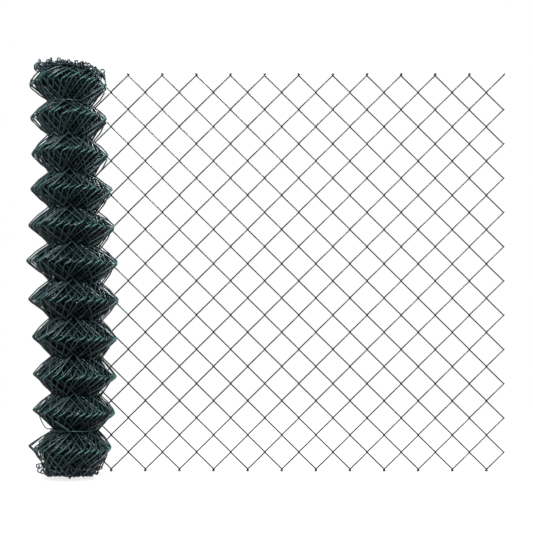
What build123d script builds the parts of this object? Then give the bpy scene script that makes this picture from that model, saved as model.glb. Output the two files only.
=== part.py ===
from build123d import *
from math import exp, pi, sqrt
import os

# Fence fabric
fence_height = 1000.0      # knuckle tip to knuckle tip
mesh_side = 60.8           # side of one diamond, wire centre to wire centre
wire_pitch = 42.8          # sideways step from one wire to the next
wire_diameter = 3.2        # over the coating
wire_count = 25            # wires in the unrolled stretch
knuckle_least = 5.0        # shortest knuckle beyond the last crossing
hook_gap = 0.3             # air between two hooked wires
fabric_half_depth = 3.0    # wire centre to the middle plane of the fabric
knuckle_return = 4.0       # length of the end that is bent back down

# Wound roll
bore_diameter = 40.0
foot_bulge_radius = 98.0   # bulges at the foot, before the belly is added
top_bulge_radius = 90.5
belly = 16.0               # how much wider the roll is near half height
belly_height = 485.0
belly_reach = 200.0        # how far the belly spreads up and down
waist_depth = 39.5         # from a bulge in to the waist beside it
rim_radius = 66.0          # end faces
turn_pitch = 9.0           # one turn to the next on the end faces
turn_groove_depth = 4.0
turn_land_share = 0.5      # flat part of each turn
bulge_phase_share = 0.88   # height of the first bulge, in meshes

# Seat of the unrolled stretch and the tie wires
seat_gap = 0.3
tie_diameter = 2.4
tail_aside = 30.0          # twisted ends of a tie, bent up along the roll's side
tail_out = 23.0
tail_up = 27.0
bottom_tail_turn = 270.0   # degrees from the unrolled side to the tail
top_tail_turn = 130.0

# Sizes that follow
mesh_height = mesh_side * sqrt(2)
half_mesh = mesh_height / 2
wire_side = wire_diameter / sqrt(2)   # square section inside the round wire
tie_side = tie_diameter * sqrt(pi) / 2
half_rows = int((fence_height - 2 * knuckle_least) / half_mesh)
knuckle_height = (fence_height - half_rows * half_mesh) / 2
hook_reach = (wire_diameter + hook_gap) / sqrt(2)
bore_radius = bore_diameter / 2
run_width = wire_pitch + 2 * hook_reach


def bulge_at(z):
    # a slight taper from foot to top, with a bell-shaped belly
    taper = foot_bulge_radius + (top_bulge_radius - foot_bulge_radius) * z / fence_height
    return taper + belly * exp(-((z - belly_height) / belly_reach) ** 2)


bulge_count = int((fence_height - knuckle_height) / mesh_height - bulge_phase_share) + 1
bulge_heights = [knuckle_height + (k + bulge_phase_share) * mesh_height for k in range(bulge_count)]
waist_heights = [z + half_mesh for z in bulge_heights[:-1]]
# the runs behind rest on the widest bulge, and cross it straight behind the roll axis
widest_bulge = max(bulge_at(z) for z in bulge_heights)
fabric_y = widest_bulge + seat_gap + wire_diameter / 2 - fabric_half_depth
first_column = hook_reach - 2 * (1 - bulge_phase_share) * run_width


def waist_at(z):
    return bulge_at(z) - waist_depth


def end_turns(z, inward):
    # ring grooves between the turns, from the bore out to the rim
    count = int((rim_radius - bore_radius) / turn_pitch)
    land = turn_pitch * turn_land_share
    points = []
    for i in range(count):
        r = bore_radius + i * turn_pitch
        points += [(r, z), (r + land, z), (r + (land + turn_pitch) / 2, z + inward * turn_groove_depth)]
    return points + [(bore_radius + count * turn_pitch, z), (rim_radius, z)]


def wound_roll():
    tips = [(bulge_at(z), z) for z in bulge_heights]
    waists = [(waist_at(z), z) for z in waist_heights]
    flank = [point for pair in zip(tips, waists) for point in pair] + tips[-1:]
    outline = end_turns(0, 1) + flank + end_turns(fence_height, -1)[::-1]
    profile = make_face(Polyline(*outline, close=True))
    return revolve(Plane.XZ * profile, Axis.Z)


def column(i):
    return first_column + i * wire_pitch


def mesh_wire(i):
    # a flattened spiral: runs that climb to the right lie in front, the others behind
    to_right = (half_rows - i - wire_count) % 2 == 0
    front, back = fabric_y - fabric_half_depth, fabric_y + fabric_half_depth
    left, right = column(i) - hook_reach, column(i + 1) + hook_reach
    near, far = (front, back) if to_right else (back, front)
    x = left if to_right else right
    tip = wire_diameter / 2
    path = [(x, far, tip + knuckle_return), (x, far, tip), (x, near, tip)]
    for k in range(half_rows):
        end = right if to_right else left
        y = front if to_right else back
        z = knuckle_height + k * half_mesh
        path += [(x, y, z), (end, y, z + half_mesh)]
        x, to_right = end, not to_right
    y, other = path[-1][1], front + back - path[-1][1]
    tip = fence_height - wire_diameter / 2
    path += [(x, y, tip), (x, other, tip), (x, other, tip - knuckle_return)]
    line = Polyline(*path)
    section = Plane(origin=path[0], x_dir=(1, 0, 0), z_dir=(0, 0, -1)) * Rectangle(wire_side, wire_side)
    return sweep(section, path=line, transition=Transition.RIGHT)


def tie_wire(z, tail_turn):
    # a ring in the groove of a waist, its two ends twisted together into a tail
    flank_slope = waist_depth / half_mesh
    ring_radius = waist_at(z) + tie_side / 2 + (tie_side / 2 + seat_gap) * flank_slope
    ring = revolve(Plane.XZ * Pos(ring_radius, 0) * Rectangle(tie_side, tie_side), Axis.Z)
    tail_line = Vector(tail_out, -tail_aside, tail_up)
    tail = Cylinder(tie_diameter, tail_line.length, align=(Align.CENTER, Align.CENTER, Align.MIN))
    tail = Plane(origin=(ring_radius + tie_diameter / 2 + 2 * seat_gap, 0, 0), z_dir=tail_line) * tail
    return Pos(0, 0, z) * Rot(0, 0, tail_turn) * (ring + tail)


os.makedirs("parts", exist_ok=True)
export_step(wound_roll(), "parts/wound_roll.step")
export_step(tie_wire(waist_heights[0], bottom_tail_turn), "parts/tie_wire_bottom.step")
export_step(tie_wire(waist_heights[-1], top_tail_turn), "parts/tie_wire_top.step")
for i in range(wire_count):
    export_step(mesh_wire(i), f"parts/mesh_wire_{i + 1:02d}.step")
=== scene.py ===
import bpy
import numpy as np
from mathutils import Matrix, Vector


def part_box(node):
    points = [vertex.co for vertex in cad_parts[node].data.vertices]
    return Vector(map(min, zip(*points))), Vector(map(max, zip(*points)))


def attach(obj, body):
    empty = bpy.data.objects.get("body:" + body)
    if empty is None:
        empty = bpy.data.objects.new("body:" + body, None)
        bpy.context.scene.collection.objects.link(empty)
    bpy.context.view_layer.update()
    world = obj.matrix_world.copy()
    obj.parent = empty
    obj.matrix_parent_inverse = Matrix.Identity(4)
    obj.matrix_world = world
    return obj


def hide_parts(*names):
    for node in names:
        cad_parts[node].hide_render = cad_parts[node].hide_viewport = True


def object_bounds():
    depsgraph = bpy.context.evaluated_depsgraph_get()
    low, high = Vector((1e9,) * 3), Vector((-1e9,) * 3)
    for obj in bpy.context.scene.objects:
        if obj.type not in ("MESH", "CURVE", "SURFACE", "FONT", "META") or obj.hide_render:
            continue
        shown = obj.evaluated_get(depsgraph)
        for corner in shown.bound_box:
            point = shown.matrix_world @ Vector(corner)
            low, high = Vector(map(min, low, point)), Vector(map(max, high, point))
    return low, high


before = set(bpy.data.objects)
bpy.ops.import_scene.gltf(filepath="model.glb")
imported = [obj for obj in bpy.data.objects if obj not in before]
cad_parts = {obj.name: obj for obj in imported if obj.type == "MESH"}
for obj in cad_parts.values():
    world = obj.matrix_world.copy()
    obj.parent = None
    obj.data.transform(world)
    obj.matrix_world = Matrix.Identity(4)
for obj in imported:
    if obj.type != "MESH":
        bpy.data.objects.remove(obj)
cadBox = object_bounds()
mm = 0.001                       # all lengths below are in mm until a mesh is made
rng = np.random.default_rng(11)
up = np.array([0.0, 0.0, 1.0])
print("frame loaded")


# Small helpers

def toLinear(hexColour):
    # sRGB hex to linear: each channel is divided by 12.92 when dark, else raised to 2.4
    c = np.array([int(hexColour[i:i + 2], 16) for i in (1, 3, 5)]) / 255
    return (*np.where(c <= 0.04045, c / 12.92, ((c + 0.055) / 1.055) ** 2.4), 1.0)


def addNode(tree, kind, settings=None, inputs=None, links=None):
    # one node: attributes, then plain input values, then links as input -> (node, output)
    node = tree.nodes.new(kind)
    for name, value in (settings or {}).items():
        setattr(node, name, value)
    for name, value in (inputs or {}).items():
        node.inputs[name].default_value = value
    for name, (source, output) in (links or {}).items():
        tree.links.new(source.outputs[output], node.inputs[name])
    return node


def unit(v):
    return v / np.linalg.norm(v, axis=-1, keepdims=True)


def level(v):
    # direction with its climb taken out
    return unit(v * [1.0, 1.0, 0.0])


def quarterTurn(v):
    # a level direction turned a quarter to the left, seen from above
    return np.stack([-v[..., 1], v[..., 0], 0 * v[..., 2]], -1)


def ease(x):
    # smooth step: 3x^2 - 2x^3 between 0 and 1
    x = np.clip(x, 0, 1)
    return x * x * (3 - 2 * x)


def sweepTubes(paths, side, radius, sides):
    # a round profile carried along every path at once: each ring lies square to the path, and
    # starts square to the side direction too, so neighbouring rings line up
    step = unit(np.diff(paths, axis=1))
    along = np.concatenate([step[:, :1], unit(step[:, 1:] + step[:, :-1]), step[:, -1:]], 1)
    first = unit(np.cross(along, side))
    second = np.cross(along, first)
    turn = np.arange(sides) * 2 * np.pi / sides
    radius = radius * np.pi / (sides * np.sin(np.pi / sides))  # as wide as the round wire on average
    ring = first[:, :, None] * np.cos(turn)[:, None] + second[:, :, None] * np.sin(turn)[:, None]
    verts = paths[:, :, None] + radius * ring
    count, points = paths.shape[:2]
    number = np.arange(count * points * sides).reshape(count, points, sides)
    ahead = np.roll(number, -1, axis=2)
    quads = np.stack([number[:, :-1], ahead[:, :-1], ahead[:, 1:], number[:, 1:]], -1).reshape(-1, 4)
    ends = np.concatenate([paths[:, 0], paths[:, -1]])       # one middle point for each end cap
    middle = count * points * sides + np.arange(2 * count)[:, None] + np.zeros((1, sides), int)
    capStart = np.stack([middle[:count], ahead[:, 0], number[:, 0]], -1)
    capEnd = np.stack([middle[count:], number[:, -1], ahead[:, -1]], -1)
    tris = np.concatenate([capStart, capEnd]).reshape(-1, 3)
    return np.concatenate([verts.reshape(-1, 3), ends]), quads, tris


def spreadRound(values, sides):
    # one value for each path point, repeated round its ring; a wire's end caps take its end values
    return np.concatenate([np.repeat(values, sides), values[:, 0], values[:, -1]])


def joinSurfaces(first, second):
    # two surfaces as one: the second one's corners are counted on from the first one's
    on = len(first[0])
    return tuple(np.concatenate([a, b + shift]) for a, b, shift in zip(first, second, (0, on, on)))


def makePiece(name, surface, tone, material, nodes, paintedHighlight=None):
    # the arrays become one mesh in metres; tone and the painted highlight are one value per point, for the
    # material
    verts, quads, tris = surface
    mesh = bpy.data.meshes.new(name)
    mesh.vertices.add(len(verts))
    mesh.vertices.foreach_set("co", (verts * mm).ravel())
    corners = np.concatenate([quads.ravel(), tris.ravel()])
    mesh.loops.add(len(corners))
    mesh.loops.foreach_set("vertex_index", corners)
    starts = np.concatenate([np.arange(len(quads)) * 4, quads.size + np.arange(len(tris)) * 3])
    mesh.polygons.add(len(starts))
    mesh.polygons.foreach_set("loop_start", starts)
    mesh.polygons.foreach_set("use_smooth", np.ones(len(starts), bool))
    mesh.update(calc_edges=True)
    mesh.validate()
    mesh.attributes.new("wireTone", "FLOAT", "POINT").data.foreach_set("value", tone)
    if paintedHighlight is not None:
        mesh.attributes.new("wirePaintedHighlight", "FLOAT", "POINT").data.foreach_set("value", paintedHighlight)
    mesh.materials.append(material)
    piece = bpy.data.objects.new(name, mesh)
    bpy.context.collection.objects.link(piece)
    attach(piece, "root")
    if nodes:
        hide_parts(*nodes)


# Coated wire: drawn steel in an extruded soft plastic coat, dark green. It gives the eye a smooth,
# slightly waxy surface with long soft highlights and small cloudy changes from handling and dust. On the
# roll it also carries painted shade on the inner turns, and a painted highlight: a row of lighter, greener
# bends.

coat = {
    "clouds": (45.0, 3.0),       # size in mm and detail of each pattern
    "scuffs": (9.0, 5.0),
    "grain": (1.6, 2.0),         # drawn coarse enough to show
    "cloudRange": (0.3, 0.7),
    "cloudTone": 0.15,           # how far a cloud makes a wire lighter or darker
    "scuffRange": (0.56, 0.74),  # a scuff starts at the first value and is full at the second
    "scuffDust": 0.4,            # dust in a full scuff
    "scuffRoughness": 0.12,
    "toneRoughness": 0.08,       # the lightest wires are rougher by this
    "grainStrength": 0.15,
    "grainHeight": 0.1,
    "ior": 1.5,
    "specular": 0.24,            # a soft plastic, duller than lacquer
    "highlight": "#e8fcff",      # the coat lends its highlights a little green
}


def coatedWireMaterial(name, deep, fresh, dusty, paintedHighlightColour, roughness):
    material = bpy.data.materials.new(name)
    material.use_nodes = True
    tree = material.node_tree
    shader = tree.nodes["Principled BSDF"]
    place = addNode(tree, "ShaderNodeTexCoord")
    clouds, scuffs, grain = (
        addNode(tree, "ShaderNodeTexNoise", inputs={"Scale": 1 / (size * mm), "Detail": detail},
                links={"Vector": (place, "Object")})
        for size, detail in (coat["clouds"], coat["scuffs"], coat["grain"]))
    wire = addNode(tree, "ShaderNodeAttribute", {"attribute_name": "wireTone"})
    low, high = coat["cloudRange"]
    patches = addNode(tree, "ShaderNodeMapRange",
                      inputs={"From Min": low, "From Max": high,
                              "To Min": -coat["cloudTone"], "To Max": coat["cloudTone"]},
                      links={"Value": (clouds, "Fac")})
    blend = addNode(tree, "ShaderNodeMath", {"operation": "ADD", "use_clamp": True},
                    links={0: (wire, "Fac"), 1: (patches, "Result")})
    green = addNode(tree, "ShaderNodeMix", {"data_type": "RGBA"},
                    {"A": toLinear(deep), "B": toLinear(fresh)}, {"Factor": (blend, "Value")})
    low, high = coat["scuffRange"]
    worn = addNode(tree, "ShaderNodeMapRange",
                   inputs={"From Min": low, "From Max": high, "To Max": coat["scuffDust"]},
                   links={"Value": (scuffs, "Fac")})
    colour = addNode(tree, "ShaderNodeMix", {"data_type": "RGBA"}, {"B": toLinear(dusty)},
                     {"Factor": (worn, "Result"), "A": (green, "Result")})
    # painted highlight: on the bends that carry it, the colour turns to a lighter green
    paintedHighlightShare = addNode(tree, "ShaderNodeAttribute", {"attribute_name": "wirePaintedHighlight"})
    colour = addNode(tree, "ShaderNodeMix", {"data_type": "RGBA"}, {"B": toLinear(paintedHighlightColour)},
                     {"Factor": (paintedHighlightShare, "Fac"), "A": (colour, "Result")})
    dull = addNode(tree, "ShaderNodeMapRange",
                   inputs={"To Min": roughness, "To Max": roughness + coat["toneRoughness"]},
                   links={"Value": (blend, "Value")})
    sheen = addNode(tree, "ShaderNodeMath", {"operation": "MULTIPLY_ADD"}, {1: coat["scuffRoughness"]},
                    {0: (scuffs, "Fac"), 2: (dull, "Result")})
    bump = addNode(tree, "ShaderNodeBump",
                   inputs={"Strength": coat["grainStrength"], "Distance": coat["grainHeight"] * mm},
                   links={"Height": (grain, "Fac")})
    tree.links.new(colour.outputs["Result"], shader.inputs["Base Color"])
    tree.links.new(sheen.outputs["Value"], shader.inputs["Roughness"])
    tree.links.new(bump.outputs["Normal"], shader.inputs["Normal"])
    shader.inputs["IOR"].default_value = coat["ior"]
    shader.inputs["Specular IOR Level"].default_value = coat["specular"]
    shader.inputs["Specular Tint"].default_value = toLinear(coat["highlight"])
    return material


greenCoat = coatedWireMaterial("darkGreenPlasticCoat", deep="#000507", fresh="#1c2a2e", dusty="#425658",
                               paintedHighlightColour="#355d59", roughness=0.2)
tieCoat = coatedWireMaterial("tieWirePlasticCoat", deep="#131f20", fresh="#2b3f3d", dusty="#4c5f5b",
                             paintedHighlightColour="#3c5450", roughness=0.28)
print("materials made")


# Chain-link fabric: sizes shared by the flat stretch and the roll

fabric = {
    "wireRadius": 1.6,
    "meshSide": 60.8,            # side of one diamond
    "rows": 23,                  # half diamonds from foot to top
}
firstLow, firstHigh = (np.array(corner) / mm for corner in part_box("mesh_wire_01"))
wirePitch = np.array(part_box("mesh_wire_02")[0])[0] / mm - firstLow[0]
fabricY = (firstLow[1] + firstHigh[1]) / 2
firstColumn = (firstLow[0] + firstHigh[0] - wirePitch) / 2
fenceHeight = cadBox[1][2] / mm
diamond = fabric["meshSide"] * np.sqrt(2)                  # its height
knuckleHeight = (fenceHeight - fabric["rows"] * diamond / 2) / 2


def hookedBends(hinges, outward, angles, reach, depth, faceOffset, rise):
    # at every hinge the wire comes in on one face of the fabric, goes round the neighbour in half a
    # turn that reaches past the hinge, and leaves on the other face a little higher. The climb is
    # a t + b t^3, which meets the straight runs at 45 degrees. The sizes may differ from row to row.
    turn = np.radians(angles)[:, None]
    face = -quarterTurn(outward)
    reach, depth, faceOffset, rise = (np.broadcast_to(size, hinges.shape[:2])[:, :, None, None]
                                      for size in (reach, depth, faceOffset, rise))
    quarter = np.pi / 2
    b = (depth - rise / quarter) / (2 * quarter ** 2)
    a = rise / quarter - b * quarter ** 2
    bends = (hinges[:, :, None]
             + outward[:, :, None] * (reach - depth * (1 - np.cos(turn)))
             - face[:, :, None] * faceOffset * np.sin(turn)
             + up * (a * turn + b * turn ** 3))
    return bends.reshape(len(hinges), -1, 3)


# Flat stretch: every wire of the frame gets its round section, its bends and its knuckles

flatStretch = {
    "sides": 8,
    "tone": (0.0, 0.15),         # from the deep colour towards the fresh one
    "bendAngles": (-90, -45, 0, 45, 90),
    # how far a bend reaches past its hinge, its length, half its width and half its climb
    "bend": {"reach": 1.5, "depth": 2.4, "faceOffset": 2.8, "rise": 1.5},
    "knuckleLift": (0.4, 2.0, 3.4, 4.05, 3.3, 1.6),        # knuckle points above the last crossing
    "knuckleCross": (1.0, 1.0, 0.75, 0.0, -0.85, -1.0),    # from one face over to the other
    "knuckleReach": (0.6, 1.0, 1.0, 1.0, 1.0, 1.0),
}


def flatWires(count):
    # hinges climb row by row and swap between the two columns of each wire
    wire = np.arange(count)[:, None]
    row = np.arange(fabric["rows"] + 1)[None]
    right = (row + wire) % 2                               # 0 at the left column, 1 at the right one
    x = firstColumn + (wire + right) * wirePitch
    z = knuckleHeight + row * diamond / 2 + 0 * wire
    hinges = np.stack([x, fabricY + 0 * x, z], -1)
    outward = np.stack([2.0 * right - 1, 0.0 * right, 0.0 * right], -1)
    bend = flatStretch["bend"]
    bends = hookedBends(hinges, outward, flatStretch["bendAngles"], **bend)
    half = len(flatStretch["bendAngles"]) // 2 + 1
    lift, cross, reach = (np.array(flatStretch[part])[:, None]
                          for part in ("knuckleLift", "knuckleCross", "knuckleReach"))

    def knuckle(end, sign):
        # the end runs straight on past its last crossing and is bent back over to the other face
        out = outward[:, end, None]
        return (hinges[:, end, None] + out * bend["reach"] * reach
                - quarterTurn(out) * bend["faceOffset"] * cross * sign + up * lift * sign)

    return np.concatenate([knuckle(0, -1)[:, ::-1], bends[:, half:-half], knuckle(-1, 1)], 1)


meshNodes = sorted(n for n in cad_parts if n.startswith("mesh_wire_"))
flatPaths = flatWires(len(meshNodes))
flatSide = unit(np.array([1.0, 1.0, 0.0]))                 # never along the wire
for number, node in enumerate(meshNodes):
    surface = sweepTubes(flatPaths[number:number + 1], flatSide, fabric["wireRadius"], flatStretch["sides"])
    tone = np.full(len(surface[0]), rng.uniform(*flatStretch["tone"]))
    makePiece("meshWire%02d" % (number + 1), surface, tone, greenCoat, [node])
print("flat stretch:", len(meshNodes), "wires")


# Wound roll: the same fabric, folded into bellows and wound up. Columns of hinges stand in turn on
# the bulges and in the waists, and follow a spiral from the bore to the unrolled stretch.

roll = {
    "wires": 325,
    "sides": 6,
    "bendAngles": (-90, -60, -30, 0, 30, 60, 90),
    "bulgeBend": {"reach": 2.0, "depth": 6.5, "faceOffset": 6.5, "rise": 5.5},    # sprung open
    "waistBend": {"reach": 2.0, "depth": 3.0, "faceOffset": 3.2, "rise": 3.0},

    # outline, as turned in the frame
    "footBulge": 98.0,
    "topBulge": 90.5,
    "belly": 16.0,
    "bellyHeight": 485.0,
    "bellyReach": 200.0,

    # folds and spiral
    "foldWidth": 46.0,           # from a bulge column to the next waist column
    "foldDepth": 37.0,           # from a bulge column in to the waist columns
    "phaseDrop": 0.12,           # the folds sit so many diamonds below the flat stretch's rows
    "flattenColumns": 3,         # and open over the last columns before the flat stretch
    "innerRadius": 34.0,         # bulge columns of the innermost turn
    "boreRadius": 25.0,          # no column stands further in
    "bendStandOut": 3.6,         # the bends stand this far outside their hinge column
    "bow": 3.5,                  # how far the springy runs stand out in their middle
    "bowPower": 2,               # and how fast that dies away inside
    "spiralSteps": 400,
    "outerSlack": 0.55,          # share of the columns missing in the outermost turn
    "slackFrom": 0.75,           # they thin out from this share of the way out
    "evenColumns": (110, 150),   # the outer columns keep one angle, so that the turns don't line up
    "bulgesPerTurn": 6.78,

    # stance: a pair in a pair is a shift and the height where it is reached
    "lean": (3.5, -12.0),        # the axis stands this far to the right low down, and shifts by so much
    "leanHeights": (350.0, 900.0),
    "footLean": (10.0, 125.0),   # the foot stands to the left by the first value, below the second
    "leftLift": 6.0,             # the turns run this much higher on the left than on the right
    "drift": ((-5.0, 220.0), (9.0, 500.0), (9.0, 860.0), (0.0, 960.0)),   # rows shift up
    "frontLift": ((0.0, 620.0), (14.0, 940.0)),            # bulges in front ride up as well
    "rightSwell": 8.0,           # the outer turns stand further out on the right, where the fence leaves
    "footSwellShare": 0.5,       # but less at the foot
    "topLeftSwell": 9.0,         # and on the left at the highest bulge
    "swellPower": 4,             # how fast both die away inside
    "tieSqueeze": 4.0,           # the lower tie pulls its waist in
    "looseColumns": (16, 20),    # the outermost turn springs out here and there
    "springOut": 3.0,            # by this on average
    "footSpringOut": 7.0,        # or this, at the lowest bulge on the left
    "springMost": 2.0,           # and at most by so many times the average
    "leftCosine": -0.5,          # further over than this is the left
    "strayRadius": 1.0,
    "strayRow": 0.7,
    "strayTurn": 0.01,
    "strayHeight": 0.9,
    "strayLift": (1.0, 3.0),     # whole columns stand higher or lower, on the bulges and in the waists
    "strayInside": 4.0,          # the innermost turn strays so many times more, and closes the view through

    # wire ends: a pair is for the foot and the top
    "endClear": 20.0,            # no hinge stands closer to either end
    "endLift": (17.0, 22.0),     # the outermost of the last hinges stand this much further out
    "innerTips": 28.0,           # distance of the innermost wire ends from the axis
    "outerTips": (60.0, 68.0),   # and of the outermost
    "tipShare": (0.25, 0.5),     # how far the ends go back towards the bulge column
    "looseEnds": (14, 36),       # so many of the outer ends are free
    "endSpread": (3.6, 13.2),    # and stray outwards by up to this
    "strayTip": 2.0,
    "strayEnd": 6.0,             # ends stop short of the foot or the top by about this
    "freeEndShare": 0.6,         # and the free ones by less
    "footRise": 11.0,            # the ends at the foot rise towards the front
    "footRisePower": 1.3,
    "floorTurns": 0.12,          # but this inner share of the turns stands on the floor
    "topRecede": 2.0,            # inner ends stop this short of the top
    "cornerFlare": ((30.0, 0.0), (5.0, 18.0)),   # free ends spread on the left and on the right
    "flareShares": (0.3, 1.0),
    "cornerDrop": ((20.0, 0.0), (8.0, 26.0)),    # and stop this short of the roll's end there
    "dropShares": (0.2, 1.0),
    "loopRadii": (4.6, 6.4),
    "tightLoops": (0.55, 0.0),   # loops are smaller by this share, but not the free ones at the sides
    "loopAngles": (-40, 0, 35, 70, 105, 140, 180, 215),
    "strayTwist": 0.4,

    # finish
    "paintedShadeColumns": (40, 80),    # painted shade: the outer columns are set lighter and the inner ones darker, as if less light reached them
    "tone": (0.2, 1.0),
    "paintedHighlight": 0.65,                 # painted highlight: how far a bend's colour turns to the lighter green
    "paintedHighlightShares": (0.4, 1.0),
    "paintedHighlightSpread": 0.8,            # how fast the painted highlight dies away along a bend
}
columnCount = roll["wires"] + 1
wires = np.arange(roll["wires"])
toGo = roll["wires"] - np.arange(columnCount)              # columns left before the flat stretch
settled = ease(toGo / roll["flattenColumns"])
onBulge = toGo % 2 == 0


def bulgeAt(z):
    # taper from foot to top plus a bell-shaped belly
    taper = roll["footBulge"] + (roll["topBulge"] - roll["footBulge"]) * z / fenceHeight
    return taper + roll["belly"] * np.exp(-((z - roll["bellyHeight"]) / roll["bellyReach"]) ** 2)


def leanAt(z):
    # sideways place of the roll's axis: it eases over to the left above its lower half and at the foot
    start, shift = roll["lean"]
    low, high = roll["leanHeights"]
    aside, below = roll["footLean"]
    return start + shift * ease((z - low) / (high - low)) - aside * ease(1 - z / below)


def shiftAt(table, z):
    shift, height = np.transpose(table)
    return np.interp(z, height, shift)


def liftAt(z, cosine):
    # rows drift up and down a little along the roll, and run higher on the left, where the cosine is -1
    return shiftAt(roll["drift"], z) - roll["leftLift"] * cosine / 2


def outerShare(band, left):
    # 1 while no more columns are left than the band's first value, easing to 0 at its second
    near, far = band
    return ease((far - left) / (far - near))


def foldTurn(outer, inner):
    # angle between neighbouring columns, by the law of cosines from the two radii and the fold width
    cosine = (outer ** 2 + inner ** 2 - roll["foldWidth"] ** 2) / (2 * outer * inner)
    return np.arccos(np.clip(cosine, -1, 1))


def foldDepth(outer):
    return np.minimum(roll["foldDepth"], outer - roll["boreRadius"])


outerRadius = roll["footBulge"] - roll["bendStandOut"] - roll["springOut"]
stepShare = np.linspace(0, 1, roll["spiralSteps"])
radiusSteps = roll["innerRadius"] + (outerRadius - roll["innerRadius"]) * stepShare
# columns needed per mm of radius grow as the turn angle shrinks, so the spiral keeps an even pitch
# and only the outermost turns stand a little further apart
packing = 1 - roll["outerSlack"] * ease((stepShare - roll["slackFrom"]) / (1 - roll["slackFrom"]))
columnsTo = np.cumsum(packing / foldTurn(radiusSteps, radiusSteps - foldDepth(radiusSteps)))
columnsTo = (columnsTo - columnsTo[0]) / (columnsTo[-1] - columnsTo[0]) * roll["wires"]
bulgeRadius = np.interp(np.arange(columnCount), columnsTo, radiusSteps)
share = (bulgeRadius - roll["innerRadius"]) / (outerRadius - roll["innerRadius"])   # 0 inside, 1 outside
leaveRadius = np.hypot(firstColumn, fabricY)
waistRadius = bulgeRadius - foldDepth(bulgeRadius) * settled
columnRadius = leaveRadius + (np.where(onBulge, bulgeRadius, waistRadius) - leaveRadius) * settled
before, after = columnRadius[:-1], columnRadius[1:]
columnTurn = foldTurn(np.maximum(before, after), np.minimum(before, after))
even = outerShare(roll["evenColumns"], toGo[1:]) * (toGo[1:] > roll["flattenColumns"])
columnTurn = columnTurn + (np.pi / roll["bulgesPerTurn"] - columnTurn) * even
looseness = 1 + (roll["strayInside"] - 1) * (1 - share)
columnAngle = np.arctan2(fabricY, firstColumn) + np.append(np.cumsum(columnTurn[::-1])[::-1], 0)
columnAngle = columnAngle + rng.normal(0, roll["strayTurn"], columnCount) * settled * looseness
columnStray = rng.normal(0, roll["strayRadius"], columnCount) * settled


def hingesOf(columns, bulges):
    # points down one family of columns, on the bulges or in the waists: radius from the turn and the
    # belly, height from the row
    rows = np.arange(fabric["rows"] // 2 + (not bulges))
    base, calm, loose, angle, outer, stray = (
        values[columns][:, None]
        for values in (columnRadius, settled, looseness, columnAngle, share, columnStray))
    z = knuckleHeight + ((1 if bulges else 0.5) + rows - roll["phaseDrop"] * calm) * diamond
    toRight, toFront = np.cos(angle), -np.sin(angle)
    fewInside = outer ** roll["swellPower"]
    swell = (bulgeAt(z) - roll["footBulge"]) * base / outerRadius
    stray = stray + rng.normal(0, roll["strayRow"], z.shape)
    if bulges:
        lowestLeft = (rows == 0) & (toRight < roll["leftCosine"])
        spring = np.where(lowestLeft, roll["footSpringOut"], roll["springOut"])
        sprung = np.minimum(rng.exponential(spring, z.shape), roll["springMost"] * spring)
        stray = stray + sprung * outerShare(roll["looseColumns"], toGo[columns])[:, None]
        stray[:, -1:] += roll["topLeftSwell"] * np.clip(-toRight, 0, 1) * fewInside
    else:
        stray[:, 1] -= roll["tieSqueeze"]
    rightSwell = roll["rightSwell"] * np.where(rows > 0, 1, roll["footSwellShare"])
    stray = stray + rightSwell * np.clip(toRight, 0, 1) * fewInside
    r = np.maximum(base + (swell + stray) * calm, roll["boreRadius"])
    if not bulges:                                         # only the waist columns reach both ends
        r[:, [0, -1]] += outer * calm * roll["endLift"]
    lift = rng.normal(0, roll["strayLift"][0 if bulges else 1], (len(columns), 1))
    z = z + (lift + rng.normal(0, roll["strayHeight"], z.shape)) * calm * loose
    if bulges:
        z = z + shiftAt(roll["frontLift"], z) * np.clip(toFront, 0, 1) * calm
    z = np.clip(z + liftAt(z, toRight) * calm, roll["endClear"], fenceHeight - roll["endClear"])
    return np.stack([r * toRight + leanAt(z) * calm, -r * toFront, z], -1)


bulgeColumns, waistColumns = np.flatnonzero(onBulge), np.flatnonzero(~onBulge)
bulgeHinges = hingesOf(bulgeColumns, True)
waistHinges = hingesOf(waistColumns, False)
bulgeSide = np.where(onBulge[wires], wires, wires + 1)
waistSide = np.where(onBulge[wires], wires + 1, wires)
outside = bulgeHinges[np.searchsorted(bulgeColumns, bulgeSide)]
inside = waistHinges[np.searchsorted(waistColumns, waistSide)]
hinges = np.empty((roll["wires"], fabric["rows"], 3))
hinges[:, 0::2], hinges[:, 1::2] = inside, outside
outward = np.empty_like(hinges)
outward[:, 1::2] = level(outside - (inside[:, :-1] + inside[:, 1:]) / 2)
outward[:, 2:-1:2] = level(inside[:, 1:-1] - (outside[:, :-1] + outside[:, 1:]) / 2)
outward[:, [0, -1]] = level(inside[:, [0, -1]] - outside[:, [0, -1]])


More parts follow.
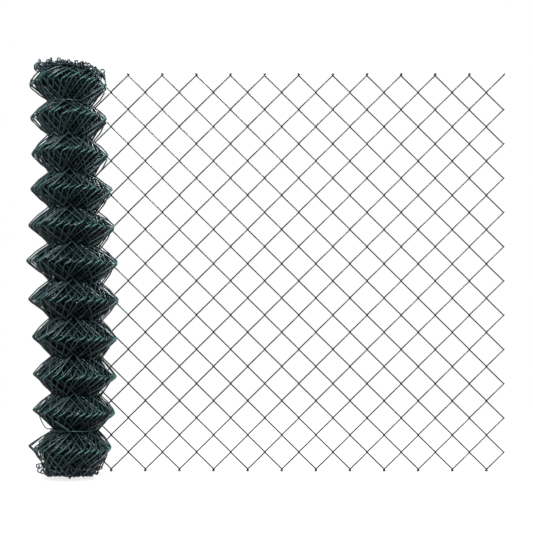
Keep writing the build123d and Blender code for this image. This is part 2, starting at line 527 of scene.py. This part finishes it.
def endLoops(atTop):
    # the wire runs on from its last hinge and curls back over in most of a circle
    end, sign, edge = (-1, 1, fenceHeight) if atTop else (0, -1, 0.0)
    outer = share[wires][:, None]
    loose = toGo[wires][:, None] < roll["looseEnds"][atTop]
    axis = np.array([leanAt(edge), 0.0, 0.0])
    towards = inside[:, end] + (outside[:, end] - inside[:, end]) * roll["tipShare"][atTop]
    run = level(towards - axis)
    radius = roll["innerTips"] + (roll["outerTips"][atTop] - roll["innerTips"]) * outer
    spread = rng.uniform(0, roll["endSpread"][atTop], outer.shape) * loose
    middle = axis + run * (radius + spread + rng.normal(0, roll["strayTip"], outer.shape))
    toRight = run[:, :1]
    corner = toRight ** 2 * loose
    tight = roll["tightLoops"][atTop] * (1 - corner)
    loop = rng.uniform(*roll["loopRadii"], outer.shape) * (1 - tight)
    flare = rng.uniform(*roll["flareShares"], outer.shape)
    middle = middle + run * corner * flare * np.where(toRight < 0, *roll["cornerFlare"][atTop])
    short = np.abs(rng.normal(0, roll["strayEnd"], outer.shape)) * np.where(loose, roll["freeEndShare"], 1)
    inset = loop + fabric["wireRadius"] + short
    drop = flare
    if atTop:
        inset = inset + roll["topRecede"] * ~loose
        drop = rng.uniform(*roll["dropShares"], outer.shape)
    else:
        toFront = np.clip(0.5 - middle[:, 1:2] / (2 * roll["outerTips"][0]), 0, 1)    # 0 behind
        offFloor = ease(outer / roll["floorTurns"])
        inset = inset + roll["footRise"] * toFront ** roll["footRisePower"] * offFloor
    inset = inset + corner * drop * np.where(toRight < 0, *roll["cornerDrop"][atTop])
    middle[:, 2:] = edge - sign * inset + liftAt(edge, toRight) * atTop
    twist = rng.normal(0, roll["strayTwist"], outer.shape)
    run = run * np.cos(twist) + quarterTurn(run) * np.sin(twist)
    turn = np.radians(roll["loopAngles"])[:, None]
    points = middle[:, None] + loop[:, None] * (run[:, None] * np.cos(turn) + up * sign * np.sin(turn))
    return points if atTop else points[:, ::-1]


onBulgeRow = np.arange(fabric["rows"]) % 2 == 1
bendSizes = {size: np.where(onBulgeRow, roll["bulgeBend"][size], roll["waistBend"][size])
             for size in roll["bulgeBend"]}
bends = hookedBends(hinges, outward, roll["bendAngles"], **bendSizes)
bends = bends.reshape(roll["wires"], fabric["rows"], -1, 3)
# the runs bow outwards between two bends
runs = (bends[:, :-1, -1] + bends[:, 1:, 0]) / 2
axes = np.stack([leanAt(runs[..., 2]), 0 * runs[..., 2], runs[..., 2]], -1)
bow = roll["bow"] * settled[wires] * share[wires] ** roll["bowPower"]
runs = runs + level(runs - axes) * bow[:, None, None]
runs = np.concatenate([bends[:, :-1], runs[:, :, None]], 2).reshape(roll["wires"], -1, 3)
rollPaths = np.concatenate([endLoops(False), runs, bends[:, -1], endLoops(True)], 1)
middleRow = outside.shape[1] // 2
rollSide = quarterTurn(level(outside[:, middleRow] - inside[:, middleRow]))[:, None]
# painted shade: 1 on the outer turns, easing to 0 on the inner ones, which get the near-black tone in place
# of the shade deep in the roll
paintedLitShare = outerShare(roll["paintedShadeColumns"], toGo[wires])
rollTone = rng.uniform(*roll["tone"], roll["wires"]) * paintedLitShare
rollTone = np.broadcast_to(rollTone[:, None], rollPaths.shape[:2])
# painted highlight: the bends on the bulges get a lighter, greener colour where light from above would catch
# them, most in their middle and on the outer turns
paintedHighlightAlong = np.zeros(rollPaths.shape[1])
firstBend, perRow = len(roll["loopAngles"]), len(roll["bendAngles"]) + 1
bendPoints = firstBend + np.flatnonzero(onBulgeRow)[:, None] * perRow + np.arange(perRow - 1)
paintedHighlightAlong[bendPoints] = np.cos(np.radians(roll["bendAngles"]) * roll["paintedHighlightSpread"])
rollPaintedHighlight = roll["paintedHighlight"] * paintedLitShare * rng.uniform(*roll["paintedHighlightShares"], roll["wires"])
rollPaintedHighlight = rollPaintedHighlight[:, None] * paintedHighlightAlong
quarter = roll["wires"] // 4
for name, part, nodes in (("rollWiresOutside", slice(3 * quarter, None), ["wound_roll"]),
                          ("rollWiresUnderneath", slice(2 * quarter, 3 * quarter), []),
                          ("rollWiresMiddle", slice(quarter, 2 * quarter), []),
                          ("rollWiresInside", slice(0, quarter), [])):
    surface = sweepTubes(rollPaths[part], rollSide[part], fabric["wireRadius"], roll["sides"])
    tone, paintedHighlight = (spreadRound(values[part], roll["sides"]) for values in (rollTone, rollPaintedHighlight))
    makePiece(name, surface, tone, greenCoat, nodes, paintedHighlight)
print("roll:", roll["wires"], "wires,", rollPaths.shape[1], "points each")


# Tie wires: one wire once round a waist, its two ends twisted together and bent up along the roll

ties = {
    "wireRadius": 1.2,
    "sides": 8,
    "tone": 0.5,
    "sectionHalf": 1.063,        # half of the square section that the frame gives the ring
    "tail": (23.0, -30.0, 27.0), # out, aside and up, from the front of the ring
    "tailPoints": 56,
    "tailFrom": 0.06,            # share of the tail where its twist starts
    "twistPitch": 9.0,
    "ringPoints": 120,
    "ringGap": 0.06,             # radians on each side, where the tail leaves
    "ringStandOut": 0.4,
    "sways": ((0.5, 5, 0), (0.35, 11, 1)),       # in and out: size, waves in a turn, start
    "bob": (0.8, 3, 2),                          # up and down, in the same way
    # the lower tie's spare end springs out on the left: distance from the axis, height above the ring
    "spareEnd": ((50, 2), (56, 0.5), (62, 0), (67, 1.5), (71.5, 5.5), (75, 11), (78.5, 17.5),
                 (81.5, 23.5), (83.5, 29), (83, 34), (80, 38)),
    # row of the waist, turn of the tail in degrees, and how far in the ring lies: the lower tie with
    # the waist that it pulls in, the upper one threaded through the mesh
    "nodes": {"tie_wire_bottom": (1, 270.0, roll["tieSqueeze"]), "tie_wire_top": (10, 130.0, 3.5)},
}
tieSide = unit(np.array([0.31, 0.17, 0.93]))               # never along the wire
spareSide = np.array([0.0, 1.0, 0.0])


def wave(shape, turn):
    size, waves, start = shape
    return size * np.sin(waves * turn + start)


def tieWire(ringRadius, height, tailTurn):
    # tail strand down, once round, tail strand up; the strands are two helices half a turn apart
    tailTurn = np.radians(tailTurn)
    out = np.array([np.cos(tailTurn), np.sin(tailTurn), 0])
    aside = np.array([-np.sin(tailTurn), np.cos(tailTurn), 0])
    line = ties["tail"][0] * out + ties["tail"][1] * aside + ties["tail"][2] * up
    length = np.linalg.norm(line)
    line = line / length
    across = unit(np.cross(line, up))
    over = np.cross(line, across)
    s = np.linspace(ties["tailFrom"], 1, ties["tailPoints"])[:, None] * length
    base = out * (ringRadius + 2 * ties["wireRadius"]) + up * height

    def strand(start):
        twist = 2 * np.pi * s / ties["twistPitch"] + start
        return base + line * s + ties["wireRadius"] * (across * np.cos(twist) + over * np.sin(twist))

    turn = np.linspace(ties["ringGap"], 2 * np.pi - ties["ringGap"], ties["ringPoints"])[:, None]
    radius = ringRadius + ties["ringStandOut"] + sum(wave(shape, turn) for shape in ties["sways"])
    ring = radius * (np.cos(turn) * out + np.sin(turn) * aside) + up * (height + wave(ties["bob"], turn))
    return np.concatenate([strand(0)[::-1], ring, strand(np.pi)])[None]


for node, (row, tailTurn, depth) in ties["nodes"].items():
    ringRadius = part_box(node)[1][0] / mm - ties["sectionHalf"]
    height = knuckleHeight + (row + 0.5 - roll["phaseDrop"]) * diamond
    shift = np.array([leanAt(height), 0.0, liftAt(height, 0)])
    path = tieWire(ringRadius - depth, height, tailTurn) + shift
    surface = sweepTubes(path, tieSide, ties["wireRadius"], ties["sides"])
    if node == "tie_wire_bottom":
        away, above = np.transpose(ties["spareEnd"])
        path = np.stack([-away, 0 * away, height + above], -1)[None] + shift
        surface = joinSurfaces(surface, sweepTubes(path, spareSide, ties["wireRadius"], ties["sides"]))
    tone = np.full(len(surface[0]), ties["tone"])
    makePiece("tieWire" + node.split("_")[-1].capitalize(), surface, tone, tieCoat, [node])
print("tie wires made")


# Camera, floor and light

studio = {
    "imagePixels": 533,
    "mmPerPixel": 2.51,          # at the flat stretch
    "lastColumnPixel": 503.4,    # picture place of the last column of hinges
    "floorPixel": 471.4,         # picture row where the flat stretch meets the floor
    "axisDistance": 2600.0,      # from the camera to the roll's axis
    "shiftUp": 0.07,             # of the lens, in picture widths
    "sensorWidth": 36.0,

    # lengths from here on are in metres
    "floorHalf": 9.0,
    "floorMiddle": (0.45, 0.05, 0.0),
    "floorColour": "#5d5d5d",
    "floorRoughness": 0.9,
    "veil": 0.79,                # part of the floor's white that the shadow leaves
    "fadeRadii": (0.8, 2.2),     # the floor fades to plain white between these
    "worldStrength": 0.02,
    "lampAim": (0.2, 0.0, 0.5),
    "lamps": {                   # place, size, watts
        "keyLamp": ((0.5, -2.7, 2.1), 0.7, 250.0),
        "topLamp": ((0.2, -1.3, 3.2), 1.0, 90.0),
        "sideLamp": ((-2.2, -1.2, 1.2), 1.0, 25.0),
        "backLamp": ((0.3, 2.8, 2.2), 1.6, 125.0),
    },
}
plainWhite = (1, 1, 1, 1)
lastColumn = firstColumn + len(meshNodes) * wirePitch
middlePixel = studio["imagePixels"] / 2
distance = studio["axisDistance"] + fabricY
cameraX = lastColumn - (studio["lastColumnPixel"] - middlePixel) * studio["mmPerPixel"]
eyePixel = middlePixel + studio["shiftUp"] * studio["imagePixels"]
cameraZ = (studio["floorPixel"] - eyePixel) * studio["mmPerPixel"]
lens = bpy.data.cameras.new("photoCamera")
lens.sensor_width = studio["sensorWidth"]
lens.lens = studio["sensorWidth"] * distance / (studio["imagePixels"] * studio["mmPerPixel"])
lens.shift_y = studio["shiftUp"]
camera = bpy.data.objects.new("photoCamera", lens)
camera.location = (cameraX * mm, -studio["axisDistance"] * mm, cameraZ * mm)
camera.rotation_euler = (np.pi / 2, 0, 0)
bpy.context.collection.objects.link(camera)
bpy.context.scene.camera = camera

floorMesh = bpy.data.meshes.new("floor")
half = studio["floorHalf"]
floorCorners = [(-half, -half, 0), (half, -half, 0), (half, half, 0), (-half, half, 0)]
floorMesh.from_pydata(floorCorners, [], [(0, 1, 2, 3)])
floor = bpy.data.objects.new("floor", floorMesh)
bpy.context.collection.objects.link(floor)


def seenRays(tree):
    # 1 for the rays that should meet the plain white background: straight, mirrored or through glass
    rays = addNode(tree, "ShaderNodeLightPath")
    mirrored = addNode(tree, "ShaderNodeMath", {"operation": "MAXIMUM"},
                       links={0: (rays, "Is Glossy Ray"), 1: (rays, "Is Transmission Ray")})
    return addNode(tree, "ShaderNodeMath", {"operation": "MAXIMUM"},
                   links={0: (rays, "Is Camera Ray"), 1: (mirrored, "Value")})


# matt white studio floor: it takes the shadow near the roll and fades into the white background
floorMaterial = bpy.data.materials.new("mattWhiteFloor")
floorMaterial.use_nodes = True
tree = floorMaterial.node_tree
paint = tree.nodes["Principled BSDF"]
paint.inputs["Base Color"].default_value = toLinear(studio["floorColour"])
paint.inputs["Roughness"].default_value = studio["floorRoughness"]
place = addNode(tree, "ShaderNodeTexCoord")
shifted = addNode(tree, "ShaderNodeVectorMath", {"operation": "SUBTRACT"}, {1: studio["floorMiddle"]},
                  {0: (place, "Object")})
fromMiddle = addNode(tree, "ShaderNodeVectorMath", {"operation": "LENGTH"}, links={0: (shifted, "Vector")})
near, far = studio["fadeRadii"]
fade = addNode(tree, "ShaderNodeMapRange", {"interpolation_type": "SMOOTHSTEP"},
               {"From Min": near, "From Max": far}, {"Value": (fromMiddle, "Value")})
seen = seenRays(tree)
white = addNode(tree, "ShaderNodeMath", {"operation": "MULTIPLY"},
                links={0: (fade, "Result"), 1: (seen, "Value")})
glow = addNode(tree, "ShaderNodeEmission", inputs={"Color": plainWhite, "Strength": 1 - studio["veil"]})
mix = addNode(tree, "ShaderNodeMixShader",
              links={"Fac": (white, "Value"), 1: (paint, "BSDF"), 2: (glow, "Emission")})
lift = addNode(tree, "ShaderNodeMath", {"operation": "MULTIPLY"}, {1: studio["veil"]}, {0: (seen, "Value")})
veil = addNode(tree, "ShaderNodeEmission", inputs={"Color": plainWhite}, links={"Strength": (lift, "Value")})
both = addNode(tree, "ShaderNodeAddShader", links={0: (mix, "Shader"), 1: (veil, "Emission")})
tree.links.new(both.outputs["Shader"], tree.nodes["Material Output"].inputs["Surface"])
floorMesh.materials.append(floorMaterial)

world = bpy.data.worlds.new("studio")
bpy.context.scene.world = world
world.use_nodes = True
tree = world.node_tree
soft = tree.nodes["Background"]
soft.inputs["Color"].default_value = plainWhite
soft.inputs["Strength"].default_value = studio["worldStrength"]
plain = addNode(tree, "ShaderNodeBackground", inputs={"Color": plainWhite, "Strength": 1.0})
mix = addNode(tree, "ShaderNodeMixShader",
              links={"Fac": (seenRays(tree), "Value"), 1: (soft, "Background"), 2: (plain, "Background")})
tree.links.new(mix.outputs["Shader"], tree.nodes["World Output"].inputs["Surface"])

for name, (spot, size, watts) in studio["lamps"].items():
    light = bpy.data.lights.new(name, "AREA")
    light.size, light.energy = size, watts
    lamp = bpy.data.objects.new(name, light)
    back = unit(np.array(spot) - studio["lampAim"])
    right = unit(np.cross(up, back))
    rows = np.stack([right, np.cross(back, right), back], 1)
    lamp.matrix_world = Matrix([[*rows[i], spot[i]] for i in range(3)] + [[0, 0, 0, 1]])
    bpy.context.collection.objects.link(lamp)
bpy.context.scene.view_settings.view_transform = "Standard"
print("studio made")
